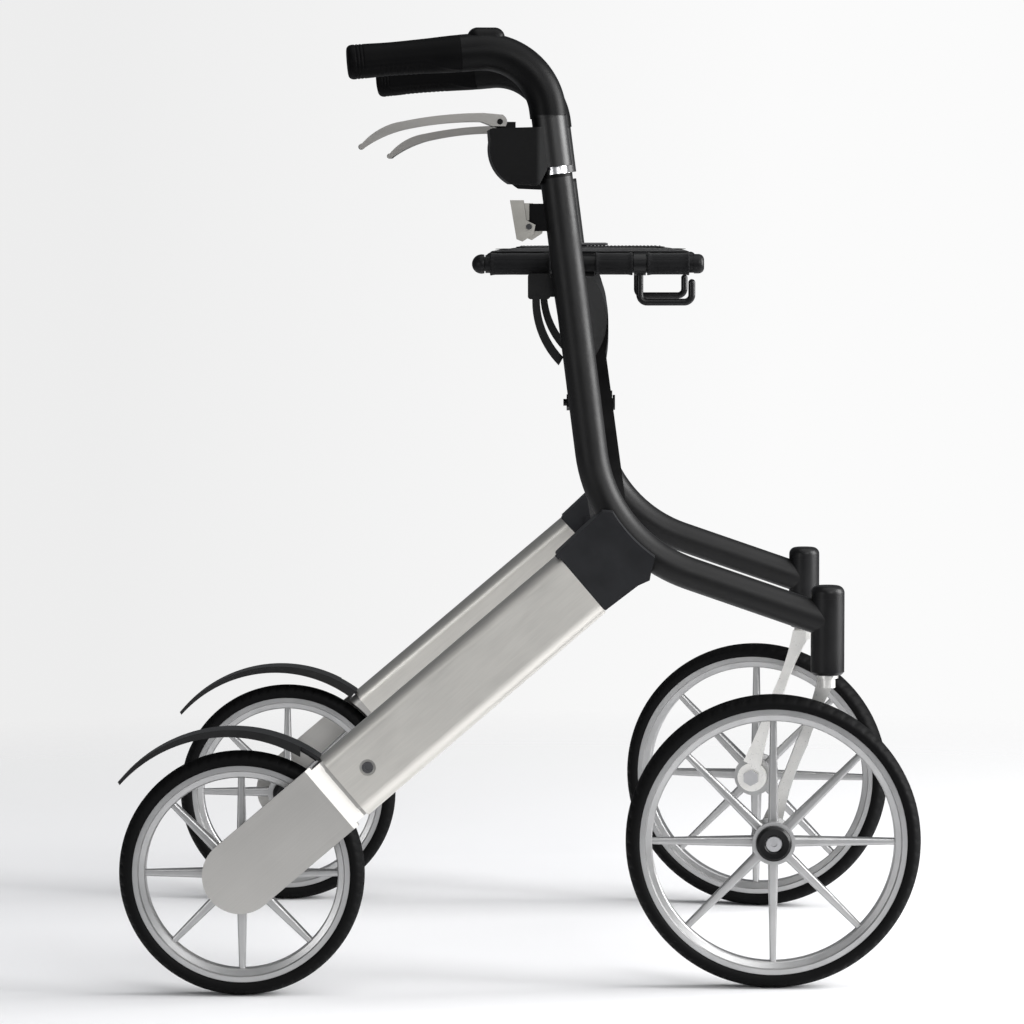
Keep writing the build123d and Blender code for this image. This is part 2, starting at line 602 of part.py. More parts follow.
def seat_rail():
    """Round rail with a ball plug at its rear and a domed plug at its front."""
    y, z = RAIL
    body = along_x(y, z, RAIL_X[0], RAIL_X[1], RAIL_R, RAIL_R - RAIL_WALL)
    ball = Pos(RAIL_ENDS_X[0] + 8.6, y, z) * Sphere(8.6)
    ball += along_x(y, z, RAIL_ENDS_X[0] + 12, RAIL_X[0] + 12, RAIL_R - RAIL_WALL - FIT)
    ball &= block((-100, RAIL_X[0] - 1.0), (y - 20, y + 20), (z - 20, z + 20))
    ball += along_x(y, z, RAIL_X[0] - 1.5, RAIL_X[0] + 12, RAIL_R - RAIL_WALL - FIT)
    front = along_x(y, z, RAIL_X[1] - 12, RAIL_X[1] + 0.5, RAIL_R - RAIL_WALL - FIT)
    dome = along_x(y, z, RAIL_X[1] + FIT, RAIL_ENDS_X[1], RAIL_R + 0.6)
    dome = fillet(dome.edges().sort_by(Axis.X)[-1], 5.0)
    return body, ball, front + dome


def bag_hook():
    """Bent-wire hook hung from the rail."""
    y, z = RAIL
    points = [
        Vector(HOOK_X[0], y, z - RAIL_R + 0.6), Vector(HOOK_X[0], y, HOOK_Z[0]),
        Vector(HOOK_X[1], y, HOOK_Z[0]), Vector(HOOK_X[1], y, HOOK_Z[1]),
    ]
    body = swept(points, 6.5, HOOK_R)
    body += along_x(y, z, 110.0, 120.6, RAIL_R + 2.2, RAIL_R + FIT)
    body += Pos(HOOK_X[1], y, HOOK_Z[1]) * Sphere(HOOK_R)
    return body - along_x(y, z, HOOK_X[0] - 15, HOOK_X[0] + 15, RAIL_R + FIT)


def seat_half():
    """Thin padded panel on the rail, reaching towards the seat's middle."""
    y0 = RAIL[0] - SEAT_HALF_WIDTH
    low = RAIL[1] + RAIL_R + GAP
    body = block(SEAT_X, (y0, RAIL[0] + 3.0), (low, low + SEAT_THICK))
    notch = block((108.0, 123.0), (RAIL[0] - 14, RAIL[0] + 10), (low - 1, low + SEAT_THICK + 1))
    return body - notch


def seat_strap():
    """Webbing flap sewn to the right half, lying across the middle of the seat."""
    low = RAIL[1] + RAIL_R + GAP + SEAT_THICK
    inner = RAIL[0] - SEAT_HALF_WIDTH
    body = block((SEAT_X[0] + 20, SEAT_X[1] - 20), (-inner - 24, inner + 14), (low + GAP, low + GAP + 2.4))
    foot = block((SEAT_X[0] + 20, SEAT_X[1] - 20), (-inner - 24, -inner - 4), (low, low + 1.5))
    return body + foot


# ---------------------------------------------------------------- handle

def grip_dir():
    return Vector(cos(radians(GRIP_SLOPE)), 0, sin(radians(GRIP_SLOPE)))


def handle_corner():
    """Where the post's axis meets the grip's axis."""
    g = grip_dir()
    rear = Vector(GRIP_REAR[0], POST_Y, GRIP_REAR[1])
    cross = post_dir.X * g.Z - post_dir.Z * g.X
    delta = rear - post_top
    t = (delta.X * g.Z - delta.Z * g.X) / cross
    return post_top + post_dir * t


def handle_points(foot_z, rear_inset):
    corner = handle_corner()
    rear = Vector(GRIP_REAR[0], POST_Y, GRIP_REAR[1]) + grip_dir() * rear_inset
    return [on_post(foot_z), corner, rear]


def toed(shape):
    """Turns the handle outward about the post's axis."""
    return shape.rotate(post_axis, -TOE_OUT)


def handle_tube():
    """Height tube, elbow and grip core bent from one tube."""
    points = handle_points(HEIGHT_TUBE_FOOT_Z, GRIP_WALL)
    return toed(swept(points, ELBOW_R, HEIGHT_TUBE_R, HEIGHT_TUBE_R - HEIGHT_TUBE_WALL))


def grip_start():
    """The point on the grip's axis where the elbow's arc ends."""
    corner = handle_corner()
    angle = grip_dir().get_angle(post_dir)
    tangent = ELBOW_R * tan(radians(180 - angle) / 2)
    return corner - grip_dir() * tangent


def handle_elbow():
    """Moulded elbow with the thumb rest, the brake housing and the lever's fork."""
    foot = on_post(722.5)
    sleeve = tube(foot, on_post(770.0), ELBOW_SLEEVE_R)
    corner = handle_corner()
    end = grip_start() - grip_dir() * ELBOW_STRAIGHT
    bend = swept([on_post(766.0), corner, end], ELBOW_R, ELBOW_BEND_R)
    outline = Curve() + [
        Polyline((34.0, 757.0), (-17.6, 755.5), (-16.6, 744.0)),
        ThreePointArc((-16.6, 744.0), (-11.5, 719.0), (0.5, 707.6)),
        Polyline((0.5, 707.6), (26.0, 706.5), (34.0, 722.0), (34.0, 757.0)),
    ]
    housing = side_plate(outline, POST_Y - 13.0, POST_Y + 13.0)
    housing = fillet(housing.edges().filter_by(Axis.Y).group_by(Axis.X)[0], 3.0)
    housing -= tube(on_post(690.0), on_post(722.4), TUBE_R + 1.2)
    crest = end + grip_dir() * THUMB_REST_AT + Vector(0, 0, ELBOW_BEND_R + THUMB_REST_RISE - THUMB_REST_R)
    crest_end = crest + Vector(THUMB_REST_LENGTH, 0, 0)
    thumb_rest = Pos(crest) * Sphere(THUMB_REST_R) + Pos(crest_end) * Sphere(THUMB_REST_R)
    thumb_rest += tube(crest, crest_end, THUMB_REST_R)
    px, pz = LEVER_PIVOT
    lug = block((px - 1.0, px + 14.0), (POST_Y - 3.0, POST_Y + 3.0), (752.0, pz))
    lug += along_y(px, pz, POST_Y - 3.0, POST_Y + 3.0, 5.6)
    body = housing + lug + sleeve + bend + thumb_rest
    body -= swept(handle_points(600.0, 0.0), ELBOW_R, HEIGHT_TUBE_R + FIT)
    body -= along_y(px, pz, POST_Y - 20, POST_Y + 20, LEVER_PIN_R + FIT)
    body += along_y(px, pz, POST_Y - LEVER_HALF - 0.6, POST_Y + LEVER_HALF + 0.6, LEVER_PIN_R)
    return toed(body)


def grip():
    """Soft grip, swelling towards its front end."""
    g = grip_dir()
    rear = Vector(GRIP_REAR[0], POST_Y, GRIP_REAR[1])
    front = grip_start() - g * (ELBOW_STRAIGHT + GRIP_GAP)
    length = (front - rear).length
    plane = Plane(origin=rear, x_dir=(0, 1, 0), z_dir=g)
    stations = [(0.0, 12.5), (3.0, 15.0), (length * 0.45, 14.6), (length * 0.8, 15.6), (length, ELBOW_BEND_R)]
    sections = [(plane.offset(at) * Circle(r)).face() for at, r in stations]
    body = loft(sections[:2], ruled=True) + loft(sections[1:])
    bore_foot = rear + g * (GRIP_WALL - FIT)
    body -= tube(bore_foot, bore_foot + g * (length + 60), HEIGHT_TUBE_R + FIT)
    return toed(body)


def brake_lever():
    """Curved blade with a forked root on the lever pin."""
    px, pz = LEVER_PIVOT
    blade = Curve() + [
        Polyline((px + 3.0, pz + 6.0), (-22.0, pz + 7.5)),
        ThreePointArc((-22.0, pz + 7.5), (-62.0, 766.6), (-93.0, 761.6)),
        ThreePointArc((-93.0, 761.6), (-114.0, 754.0), (-127.5, 742.5)),
        ThreePointArc((-127.5, 742.5), (-130.2, 739.0), (-125.6, 738.6)),
        ThreePointArc((-125.6, 738.6), (-110.0, 747.6), (-91.0, 754.4)),
        ThreePointArc((-91.0, 754.4), (-62.0, 759.4), (-24.0, 761.4)),
        Polyline((-24.0, 761.4), (px - 5.0, pz - 4.5), (px + 3.0, pz - 4.5), (px + 3.0, pz + 6.0)),
    ]
    body = side_plate(blade, POST_Y - LEVER_HALF, POST_Y + LEVER_HALF)
    body += along_y(px, pz, POST_Y - LEVER_HALF, POST_Y + LEVER_HALF, 6.2)
    body -= block((px - 7.2, px + 30.0), (POST_Y - 3.3, POST_Y + 3.3), (740.0, 790.0))
    body -= along_y(px, pz, POST_Y - 20, POST_Y + 20, LEVER_PIN_R + RUN)
    body -= block((px - 9.4, px + 30.0), (POST_Y - 20, POST_Y + 20), (740.0, 757.5))
    return toed(body)


# ---------------------------------------------------------------- assembly

def as_compound(shape):
    pieces = shape if isinstance(shape, (list, tuple)) else [shape]
    solids = [s for piece in pieces for s in piece.solids()]
    return Compound(children=solids) if len(solids) > 1 else solids[0]


def mirrored(shape):
    return as_compound([s.mirror(Plane.XZ) for s in shape.solids()])


parts = {}


def add_pair(name, left_shape, right_shape=None):
    """Stores the left part and its mirror image under side names."""
    left = as_compound(left_shape)
    right = as_compound(right_shape) if right_shape is not None else left
    parts["left_" + name] = left
    parts["right_" + name] = mirrored(right)


def add_caster_pair(name, shape):
    """As add_pair, with the left one turned about its steering axis."""
    add_pair(name, shape)
    steering = Axis((STEER_X, FRONT_Y, 0), (0, 0, 1))
    turned_solids = [s.rotate(steering, LEFT_SWIVEL) for s in parts["left_" + name].solids()]
    parts["left_" + name] = as_compound(turned_solids)


arm_x_right = BRACE_X + ARM_PITCH / 2   # the arm pivoted on the right frame
arm_x_left = BRACE_X - ARM_PITCH / 2    # the arm pivoted on the left frame

add_pair("main_tube", main_tube())
add_pair("joint_block", joint_block() + brace_lug(arm_x_left), joint_block() + brace_lug(arm_x_right))
add_pair("rear_beam", rear_beam())
add_pair("rear_fork", rear_fork())
add_pair("rear_axle", rear_axle())
add_pair("mudguard", mudguard())
add_pair("head_tube", head_tube())
add_pair("clamp_collar", clamp_collar())
add_pair("frame_pins", frame_pins(arm_x_left), frame_pins(arm_x_right))
add_pair("clamp_lever", clamp_lever())
add_pair("brake_shoe", brake_shoe())
add_pair("rear_tyre", tyre(rear_hub, REAR_R))
add_pair("rear_rim", rim(rear_hub, REAR_R, REAR_HUB_HALF))
add_pair("rear_bearings", bearings(rear_hub, REAR_HUB_HALF))
add_pair("rear_hub_cap", rear_hub_cap())

add_caster_pair("caster_fork", caster_fork())
add_caster_pair("front_axle", front_axle())
add_caster_pair("front_tyre", tyre(front_hub, FRONT_R))
add_caster_pair("front_rim", rim(front_hub, FRONT_R, FRONT_HUB_HALF))
add_caster_pair("front_bearings", bearings(front_hub, FRONT_HUB_HALF))
add_caster_pair("front_hub_cap", front_hub_cap())

add_pair("handle_tube", handle_tube())
add_pair("handle_elbow", handle_elbow())
add_pair("grip", grip())
add_pair("brake_lever", brake_lever())

add_pair("seat_rail", seat_rail())
add_pair("bag_hook", bag_hook())
add_pair("seat_half", seat_half())
parts["right_brace_arm"] = as_compound(brace_arm(arm_x_right))
parts["left_brace_arm"] = mirrored(as_compound(brace_arm(arm_x_left)))
parts["brace_centre_bolt"] = as_compound(centre_pivot())
parts["seat_strap"] = as_compound(seat_strap())

os.makedirs("parts", exist_ok=True)
for node, shape in parts.items():
    export_step(Pos(-LENGTH_CENTRE, 0, 0) * shape, "parts/" + node + ".step")
print(len(parts), "nodes")
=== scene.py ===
import bpy
import bmesh
import json
import math
from mathutils import Matrix, Vector, noise


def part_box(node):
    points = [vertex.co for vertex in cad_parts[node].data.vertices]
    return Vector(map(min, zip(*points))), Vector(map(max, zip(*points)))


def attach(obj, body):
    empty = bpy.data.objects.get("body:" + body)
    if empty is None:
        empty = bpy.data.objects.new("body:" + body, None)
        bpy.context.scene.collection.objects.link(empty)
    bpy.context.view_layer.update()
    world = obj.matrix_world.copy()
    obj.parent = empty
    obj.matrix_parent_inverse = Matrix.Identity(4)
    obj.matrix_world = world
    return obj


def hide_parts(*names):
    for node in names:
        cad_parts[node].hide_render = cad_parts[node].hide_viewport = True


# A cross-folding rollator seen from its right side. Metres, +X forward, +Y to the
# user's left, +Z up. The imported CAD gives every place; this script gives the looks.

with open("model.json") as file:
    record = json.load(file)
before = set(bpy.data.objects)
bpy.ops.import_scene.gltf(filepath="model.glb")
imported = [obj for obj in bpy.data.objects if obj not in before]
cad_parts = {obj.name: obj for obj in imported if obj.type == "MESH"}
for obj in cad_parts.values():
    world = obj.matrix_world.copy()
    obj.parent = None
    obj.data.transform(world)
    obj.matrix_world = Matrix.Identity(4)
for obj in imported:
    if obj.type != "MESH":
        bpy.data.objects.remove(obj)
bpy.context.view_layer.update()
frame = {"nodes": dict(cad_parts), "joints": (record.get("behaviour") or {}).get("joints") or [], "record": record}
joints = {j["name"]: j for j in frame["joints"]}
MM = 0.001


def add_object(name, data):
    obj = bpy.data.objects.new(name, data)
    bpy.context.scene.collection.objects.link(obj)
    return obj


# ---------------------------------------------------------------- camera

CAMERA_PLACE = Vector((0.0764, -3.8583, 0.6693))
CAMERA_YAW = math.radians(1.342)
CAMERA_PITCH = math.radians(-3.91)
CAMERA_ROLL = math.radians(0.091)
LENS_MM = 146.07
SENSOR_MM = 36.0


def make_camera():
    data = bpy.data.cameras.new("photo_camera")
    data.lens = LENS_MM
    data.sensor_width = SENSOR_MM
    camera = add_object("photo_camera", data)
    turn = Matrix.Rotation(CAMERA_YAW, 4, "Z") @ Matrix.Rotation(math.radians(90) + CAMERA_PITCH, 4, "X")
    camera.matrix_world = Matrix.Translation(CAMERA_PLACE) @ turn @ Matrix.Rotation(-CAMERA_ROLL, 4, "Z")
    bpy.context.scene.camera = camera


# ---------------------------------------------------------------- node helpers

class Shader:
    """A material being built: a Principled surface and short calls for the nodes in front of it."""

    def __init__(self, name, colour, metallic=0.0, roughness=0.5):
        self.material = bpy.data.materials.new(name)
        self.material.use_nodes = True
        self.tree = self.material.node_tree
        self.surface = self.tree.nodes["Principled BSDF"]
        self.surface.inputs["Base Color"].default_value = (*colour, 1.0)
        self.surface.inputs["Metallic"].default_value = metallic
        self.surface.inputs["Roughness"].default_value = roughness
        self.colour = colour
        self.roughness = roughness
        self.place = self.tree.nodes.new("ShaderNodeTexCoord").outputs["Object"]

    def node(self, kind, **sockets):
        made = self.tree.nodes.new(kind)
        for key, value in sockets.items():
            socket = made.inputs[key.replace("_", " ")]
            if isinstance(value, bpy.types.NodeSocket):
                self.tree.links.new(value, socket)
            else:
                socket.default_value = value
        return made

    def mapped(self, scale, turn=(0, 0, 0)):
        """Object coordinates turned and then stretched."""
        turned = self.node("ShaderNodeMapping", Vector=self.place, Rotation=turn)
        return self.node("ShaderNodeMapping", Vector=turned.outputs[0], Scale=scale).outputs[0]

    def noise(self, scale, detail=3.0, place=None):
        made = self.node("ShaderNodeTexNoise", Vector=place or self.place, Scale=scale, Detail=detail)
        return made.outputs["Fac"]

    def ranged(self, value, low, high, into_low=0.0, into_high=1.0):
        made = self.node("ShaderNodeMapRange", Value=value)
        made.inputs["From Min"].default_value = low
        made.inputs["From Max"].default_value = high
        made.inputs["To Min"].default_value = into_low
        made.inputs["To Max"].default_value = into_high
        return made.outputs[0]

    def maths(self, how, a, b=0.5):
        made = self.tree.nodes.new("ShaderNodeMath")
        made.operation = how
        for socket, value in zip(made.inputs, (a, b)):
            if isinstance(value, bpy.types.NodeSocket):
                self.tree.links.new(value, socket)
            else:
                socket.default_value = value
        return made.outputs[0]

    def tint(self, amount, dark, light):
        """Base colour between two multiples of the material's colour."""
        mix = self.tree.nodes.new("ShaderNodeMix")
        mix.data_type = "RGBA"
        self.tree.links.new(amount, mix.inputs["Factor"])
        mix.inputs["A"].default_value = (*[min(1.0, c * dark) for c in self.colour], 1.0)
        mix.inputs["B"].default_value = (*[min(1.0, c * light) for c in self.colour], 1.0)
        self.tree.links.new(mix.outputs["Result"], self.surface.inputs["Base Color"])

    def rough(self, amount, spread):
        self.tree.links.new(
            self.ranged(amount, 0.3, 0.7, self.roughness - spread, self.roughness + spread),
            self.surface.inputs["Roughness"],
        )

    def bump(self, height, strength, distance):
        made = self.node("ShaderNodeBump", Height=height)
        made.inputs["Strength"].default_value = strength
        made.inputs["Distance"].default_value = distance
        self.tree.links.new(made.outputs[0], self.surface.inputs["Normal"])


def powder_coat(name, colour, roughness, gloss=0.28):
    """Painted or anodised metal: fine orange peel, faint handling marks."""
    s = Shader(name, colour, 0.0, roughness)
    grain = s.noise(1500.0, 2.0)
    marks = s.noise(38.0, 6.0)
    s.tint(s.ranged(marks, 0.35, 0.7), 0.85, 1.25)
    s.rough(marks, 0.05)
    s.bump(grain, 0.10, 0.0002)
    s.surface.inputs["Specular IOR Level"].default_value = gloss
    return s.material


def brushed(name, colour, roughness, turn, coarse=600.0, depth=0.12):
    """Bare or clear-anodised aluminium with fine lines along one direction."""
    s = Shader(name, colour, 1.0, roughness)
    lines = s.noise(1.0, 4.0, s.mapped((9.0, coarse, coarse), turn))
    cloud = s.noise(22.0, 4.0)
    both = s.maths("ADD", s.maths("MULTIPLY", lines, 0.6), s.maths("MULTIPLY", cloud, 0.4))
    s.tint(s.ranged(both, 0.35, 0.65), 0.96, 1.03)
    s.rough(both, 0.025)
    s.bump(lines, depth, 0.0002)
    return s.material


def cast_silver(name, colour, metallic, roughness, grain=900.0):
    """Lacquered cast alloy: soft sparkle and a slightly uneven film."""
    s = Shader(name, colour, metallic, roughness)
    fine = s.noise(grain, 3.0)
    film = s.noise(45.0, 4.0)
    s.tint(s.ranged(film, 0.3, 0.7), 0.92, 1.06)
    s.rough(fine, 0.05)
    s.bump(fine, 0.08, 0.0002)
    return s.material


def moulded(name, colour, roughness, grain=1700.0, depth=0.25, gloss=0.25):
    """Moulded plastic with a spark-eroded grain and faint flow marks."""
    s = Shader(name, colour, 0.0, roughness)
    cells = s.node("ShaderNodeTexVoronoi", Vector=s.place, Scale=grain).outputs["Distance"]
    flow = s.noise(30.0, 5.0)
    s.tint(s.ranged(flow, 0.35, 0.7), 0.85, 1.2)
    s.rough(flow, 0.05)
    s.bump(cells, depth, 0.0002)
    s.surface.inputs["Specular IOR Level"].default_value = gloss
    return s.material


# edges of the height tube's sleeve, each as the start and end of a soft step
SLEEVE_REAR_X = (0.013, 0.017)
SLEEVE_TOP_Z = (0.7675, 0.7665)
SLEEVE_GLOSS = 0.5


def make_two_tone(material):
    """The elbow's finish, glossier on the sleeve round the height tube."""
    nodes, links = material.node_tree.nodes, material.node_tree.links
    surface = nodes["Principled BSDF"]
    where = nodes.new("ShaderNodeSeparateXYZ")
    links.new(nodes.new("ShaderNodeTexCoord").outputs["Object"], where.inputs[0])
    inside = []
    for axis, step in (("X", SLEEVE_REAR_X), ("Z", SLEEVE_TOP_Z)):
        edge = nodes.new("ShaderNodeMapRange")
        edge.inputs["From Min"].default_value, edge.inputs["From Max"].default_value = step
        links.new(where.outputs[axis], edge.inputs["Value"])
        inside.append(edge.outputs[0])
    both = nodes.new("ShaderNodeMath")
    both.operation = "MULTIPLY"
    for socket, value in zip(both.inputs, inside):
        links.new(value, socket)
    gloss = nodes.new("ShaderNodeMapRange")
    gloss.inputs["To Min"].default_value = surface.inputs["Specular IOR Level"].default_value
    gloss.inputs["To Max"].default_value = SLEEVE_GLOSS
    links.new(both.outputs[0], gloss.inputs["Value"])
    links.new(gloss.outputs[0], surface.inputs["Specular IOR Level"])


def rubber(name, colour, roughness, dust=0.35):
    """Soft rubber: dull grain with a little dust in patches."""
    s = Shader(name, colour, 0.0, roughness)
    grain = s.noise(1300.0, 4.0)
    patches = s.noise(26.0, 6.0)
    dusty = s.maths("MULTIPLY", s.ranged(patches, 0.45, 0.75), dust)
    s.tint(dusty, 0.9, 2.2)
    s.rough(patches, 0.06)
    s.bump(grain, 0.35, 0.0003)
    s.surface.inputs["Specular IOR Level"].default_value = 0.06
    return s.material


def woven(name, colour, thread, roughness=0.85, turn=(0, 0, 0)):
    """Plain weave: two crossed sets of threads with painted shade in the gaps between them, and a sheen of loose
    fibre.
    """
    s = Shader(name, colour, 0.0, roughness)
    across = s.mapped((1.0 / thread, 1.0 / thread, 1.0 / thread), turn)
    split = s.node("ShaderNodeSeparateXYZ", Vector=across)
    warp = s.maths("SINE", s.maths("MULTIPLY", split.outputs["X"], math.pi))
    weft = s.maths("SINE", s.maths("MULTIPLY", split.outputs["Y"], math.pi))
    over = s.maths("MULTIPLY", warp, weft)
    height = s.maths("ABSOLUTE", over)
    fibre = s.noise(2600.0, 2.0)
    cloud = s.noise(30.0, 5.0)
    # painted shade in the gaps between threads, mixed with random cloudy tone
    gap_shade_and_cloud = s.maths("ADD", s.maths("MULTIPLY", height, 0.55), s.maths("MULTIPLY", cloud, 0.45))
    s.tint(s.ranged(gap_shade_and_cloud, 0.2, 0.9), 0.7, 1.5)
    s.bump(s.maths("ADD", height, s.maths("MULTIPLY", fibre, 0.4)), 0.55, 0.0004)
    s.surface.inputs["Sheen Weight"].default_value = 0.08
    s.surface.inputs["Specular IOR Level"].default_value = 0.2
    s.surface.inputs["Sheen Roughness"].default_value = 0.4
    return s.material


BEAM_TURN = (0.0, math.radians(40.4), 0.0)
looks = {
    "black_tube": powder_coat("satin_black_tube", (0.0038, 0.0037, 0.0039), 0.46, 0.30),
    "head_alloy": powder_coat("satin_black_head", (0.0070, 0.0070, 0.0074), 0.38, 0.22),
    "rail_black": powder_coat("black_rail", (0.0060, 0.0060, 0.0064), 0.36, 0.18),
    "hook_wire": powder_coat("black_hook", (0.0050, 0.0050, 0.0054), 0.33, 0.30),
    "block_grey": powder_coat("graphite_block", (0.014, 0.0145, 0.0162), 0.50, 0.20),
    "beam_alloy": brushed("champagne_beam", (0.76, 0.74, 0.695), 0.42, BEAM_TURN, 600.0, 0.07),
    "plate_alloy": brushed("grey_plate", (0.52, 0.51, 0.49), 0.46, BEAM_TURN, 900.0, 0.18),
    "height_alloy": brushed("drawn_tube", (0.84, 0.84, 0.85), 0.30, (0, 0, 0), 300.0, 0.01),
    "fastener_steel": cast_silver("zinc_steel", (0.55, 0.55, 0.56), 1.0, 0.34),
    "blackened_steel": cast_silver("blackened_steel", (0.15, 0.15, 0.155), 1.0, 0.32),
    "bearing_steel": brushed("ground_steel", (0.62, 0.62, 0.63), 0.3, (0, 0, 0)),
    "wheel_alloy": cast_silver("wheel_silver", (0.44, 0.44, 0.44), 0.8, 0.34),
    "fork_alloy": cast_silver("fork_silver", (0.88, 0.87, 0.84), 0.7, 0.32),
    "lever_alloy": brushed("lever_silver", (0.34, 0.33, 0.315), 0.36, (0, 0, 0), 120.0, 0.004),
    "guard_plastic": moulded("guard_black", (0.0060, 0.0060, 0.0063), 0.38, gloss=0.4),
    "collar_plastic": moulded("collar_black", (0.0030, 0.0030, 0.0032), 0.45, gloss=0.1),
    "cap_plastic": moulded("cap_black", (0.0045, 0.0045, 0.0048), 0.30, 2200.0, 0.1),
    "paddle_plastic": moulded("paddle_grey", (0.33, 0.32, 0.295), 0.38),
    "elbow_plastic": moulded("elbow_black", (0.0022, 0.0022, 0.0024), 0.42, 2000.0, 0.12, 0.13),
    "grip_rubber": rubber("grip_black", (0.0022, 0.0022, 0.0024), 0.50, 0.1),
    "shoe_rubber": rubber("shoe_black", (0.006, 0.006, 0.006), 0.7),
    "tyre": rubber("tyre_black", (0.0048, 0.0048, 0.0050), 0.60, 0.18),
    "seat_fabric": woven("seat_weave", (0.0075, 0.0075, 0.0082), 0.0009),
    "strap_webbing": woven("strap_weave", (0.022, 0.022, 0.024), 0.0016),
}
make_two_tone(looks["elbow_plastic"])

slots = {p["node"]: p["material_slot"] for p in frame["record"]["subparts"]}

DARK_HARDWARE = {
    "brace_centre_bolt": "hook_wire",
    "left_frame_pins": "blackened_steel",
    "right_frame_pins": "blackened_steel",
}


def dress_cad_nodes():
    """Every CAD node gets the look of its slot, apart from the darker hardware."""
    for name, obj in frame["nodes"].items():
        obj.data.materials.clear()
        obj.data.materials.append(looks[DARK_HARDWARE.get(name, slots[name])])
        for polygon in obj.data.polygons:
            polygon.material_index = 0


# ---------------------------------------------------------------- mesh helpers

def mesh_object(name, verts, faces, look, smooth=True):
    data = bpy.data.meshes.new(name)
    data.from_pydata([tuple(v) for v in verts], [], faces)
    data.validate()
    obj = add_object(name, data)
    data.materials.append(looks[look])
    if smooth:
        data.polygons.foreach_set("use_smooth", [True] * len(data.polygons))
    return obj


def face_outward(obj, weld=0.0):
    """Turns every face of a closed mesh outward, after welding points closer than weld."""
    bm = bmesh.new()
    bm.from_mesh(obj.data)
    if weld:
        bmesh.ops.remove_doubles(bm, verts=bm.verts, dist=weld)
    bmesh.ops.recalc_face_normals(bm, faces=bm.faces)
    bm.to_mesh(obj.data)
    bm.free()
    return obj


def loft_rings(rings, close_first=True, close_last=True):
    """Verts and faces of a tube through rings of points, with flat caps."""
    verts, faces = [], []
    for ring in rings:
        verts += ring
    count = len(rings[0])
    for k in range(len(rings) - 1):
        for n in range(count):
            a, b = k * count + n, k * count + (n + 1) % count
            faces.append((a, b, b + count, a + count))
    if close_first:
        faces.append(tuple(reversed(range(count))))
    if close_last:
        start = (len(rings) - 1) * count
        faces.append(tuple(range(start, start + count)))
    return verts, faces


def slab_faces(nx, ny):
    """Faces of a closed slab: an under layer and an upper layer of (nx + 1) x (ny + 1) points."""
    faces = []
    per = (nx + 1) * (ny + 1)
    for i in range(nx):
        for j in range(ny):
            a = i * (ny + 1) + j
            b, c, d = a + ny + 1, a + ny + 2, a + 1
            faces.append((a, d, c, b))
            faces.append((per + a, per + b, per + c, per + d))
    border = list(range(ny + 1))
    border += [i * (ny + 1) + ny for i in range(1, nx + 1)]
    border += [nx * (ny + 1) + j for j in range(ny - 1, -1, -1)]
    border += [i * (ny + 1) for i in range(nx - 1, 0, -1)]
    for k, a in enumerate(border):
        b = border[(k + 1) % len(border)]
        faces.append((a, per + a, per + b, b))
    return faces


def smooth(value, low, high):
    """0 below low, 1 above high, smooth between."""
    t = min(1.0, max(0.0, (value - low) / (high - low)))
    return t * t * (3 - 2 * t)


def body_of(node):
    for body, members in frame["record"]["behaviour"]["bodies"].items():
        if node in members:
            return body


def stands_for(obj, node):
    """obj takes the CAD node's place, body and finish."""
    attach(obj, body_of(node))
    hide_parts(node)


def other_side(obj, name):
    """The mirror image of a left piece, for the right side."""
    data = obj.data.copy()
    data.transform(Matrix.Scale(-1, 4, (0, 1, 0)))
    data.flip_normals()
    return add_object(name, data)


# ---------------------------------------------------------------- tyres

TYRE_STEPS = 576
TREAD_DEPTH = 0.7 * MM
TREAD_PITCH = 8            # steps from one sipe to the next
SIPE_WIDTH = 2.6           # in steps
SIPE_SLANT = 3.0           # steps that a sipe leans over half the tyre's width
SIPE_SHARES = (0.30, 0.97)
GROOVE_SHARES = (0.14, 0.24)
CROWN_DROP = 6.2 * MM      # from the crown to the edge of the tread
BEAD_IN = 2.0 * MM
TYRE_HALF = 13.5 * MM
TYRE_DEPTH = 12.3 * MM
CROWN_POINTS = 20          # steps across the crown
CROWN_FALL = 5.5 * MM      # how far the crown drops towards its edges
CROWN_POWER = 2.6          # higher is flatter in the middle
CROWN_NARROWING = 0.02


def tyre_profile(depth, half):
    """Half-section points (offset along the axle, distance below the crown), bead to bead."""
    side = [
        (-half + BEAD_IN, depth),
        (-half + 0.2 * MM, depth - 2.5 * MM),
        (-half, depth - 4.5 * MM),
        (-half, CROWN_DROP),
    ]
    points = list(side)
    for step in range(1, CROWN_POINTS):
        across = -1 + step / (CROWN_POINTS / 2)
        reach = abs(across) ** CROWN_POWER
        points.append((half * across * (1 - CROWN_NARROWING * reach), CROWN_FALL * reach))
    points += [(-a, b) for a, b in reversed(side)]
    return points


def make_tyre(name, centre, axle, radius, half, depth):
    """A crowned tyre with slanted sipes on both shoulders and two grooves round the crown."""
    axle = Vector(axle).normalized()
    first = axle.cross(Vector((0, 0, 1))).normalized()
    second = axle.cross(first)
    profile = tyre_profile(depth, half)
    verts, faces = [], []
    for step in range(TYRE_STEPS):
        for across, below in profile:
            share = abs(across / half)
            in_sipe = (step + SIPE_SLANT * share) % TREAD_PITCH < SIPE_WIDTH
            on_shoulder = SIPE_SHARES[0] < share < SIPE_SHARES[1] and below < CROWN_DROP
            in_groove = GROOVE_SHARES[0] < share < GROOVE_SHARES[1]
            cut = TREAD_DEPTH if (in_sipe and on_shoulder) or in_groove else 0.0
            angle = 2 * math.pi * step / TYRE_STEPS
            out = first * math.cos(angle) + second * math.sin(angle)
            verts.append(Vector(centre) + out * (radius - below - cut) + axle * across)
    count = len(profile)
    for step in range(TYRE_STEPS):
        here, there = step * count, ((step + 1) % TYRE_STEPS) * count
        for k in range(count):
            n = (k + 1) % count
            faces.append((here + k, here + n, there + n, there + k))
    return face_outward(mesh_object(name, verts, faces, "tyre"))


